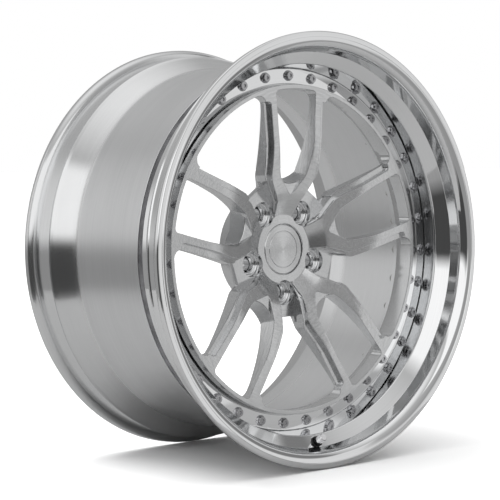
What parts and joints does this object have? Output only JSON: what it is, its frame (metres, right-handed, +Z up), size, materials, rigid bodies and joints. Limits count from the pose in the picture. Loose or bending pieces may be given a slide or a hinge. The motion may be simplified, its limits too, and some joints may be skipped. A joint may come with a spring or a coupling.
{
  "type": "three-piece forged racing wheel",
  "caption": "Multi-piece forged racing wheel with a forked-spoke centre bolted between a stepped polished outer lip and a wide inner barrel, with centre cap and tyre valve.",
  "frame": {"origin": "on the wheel's axis, midway between the two flange edges", "axes": "Y is the wheel's axis with -Y out of the outboard face, +Z is up with one fork at the top and the valve at the bottom, +X is to the right seen from outboard"},
  "size_m": [0.5478, 0.281, 0.5478],
  "materials": {
    "forged_aluminium": "brushed, fine machined grain",
    "polished_aluminium": "mirror polished",
    "spun_aluminium": "brushed round the axis",
    "cap_aluminium": "brushed",
    "dark_chrome": "bright, smoke tint",
    "zinc_steel": "satin",
    "spring_steel": "satin",
    "valve_chrome": "bright",
    "brass": "satin",
    "black_anodised": "black anodised, satin",
    "black_rubber": "matt",
    "grey_sealant": "matt"
  },
  "bodies": {
    "wheel": {"wheel_center": "forged_aluminium", "outer_lip": "polished_aluminium", "inner_barrel": "spun_aluminium", "assembly_bolts": "dark_chrome", "assembly_washers": "zinc_steel", "assembly_nuts": "zinc_steel", "rim_sealant": "grey_sealant", "valve_stem": "valve_chrome", "valve_outer_grommet": "black_rubber", "valve_grommet": "black_rubber", "valve_washer": "black_anodised", "valve_nut": "black_anodised", "core_body": "brass", "core_spring": "spring_steel"},
    "center_cap": {"cap_body": "cap_aluminium", "cap_insert": "cap_aluminium", "cap_o_ring": "black_rubber", "cap_clip": "spring_steel"},
    "valve_core": {"core_pin": "brass", "core_seal": "black_rubber"},
    "valve_cap_seal": {"valve_cap_liner": "black_rubber"},
    "valve_cap": {"valve_cap": "valve_chrome"}
  },
  "joints": [
    {"name": "cap_pull", "type": "slide", "parent": "wheel", "child": "center_cap", "axis": [0, -1, 0], "range_m": [0, 0.03]},
    {"name": "core_press", "type": "slide", "parent": "wheel", "child": "valve_core", "axis": [0, 0.8829, -0.4695], "range_m": [0, 0.0008], "stiffness_N_per_m": 400, "deforming": ["core_spring"]},
    {"name": "valve_cap_lift", "type": "slide", "parent": "wheel", "child": "valve_cap_seal", "axis": [0, -0.8829, 0.4695], "range_m": [0, 0.00635]},
    {"name": "valve_cap_turn", "type": "hinge", "parent": "valve_cap_seal", "child": "valve_cap", "pos_m": [0, -0.12059, -0.23867], "axis": [0, -0.8829, 0.4695], "range_deg": [0, 2880]}
  ],
  "couplings": [
    {"joint": "valve_cap_turn", "follows": "valve_cap_lift", "rad_per_m": 7913.3}
  ]
}
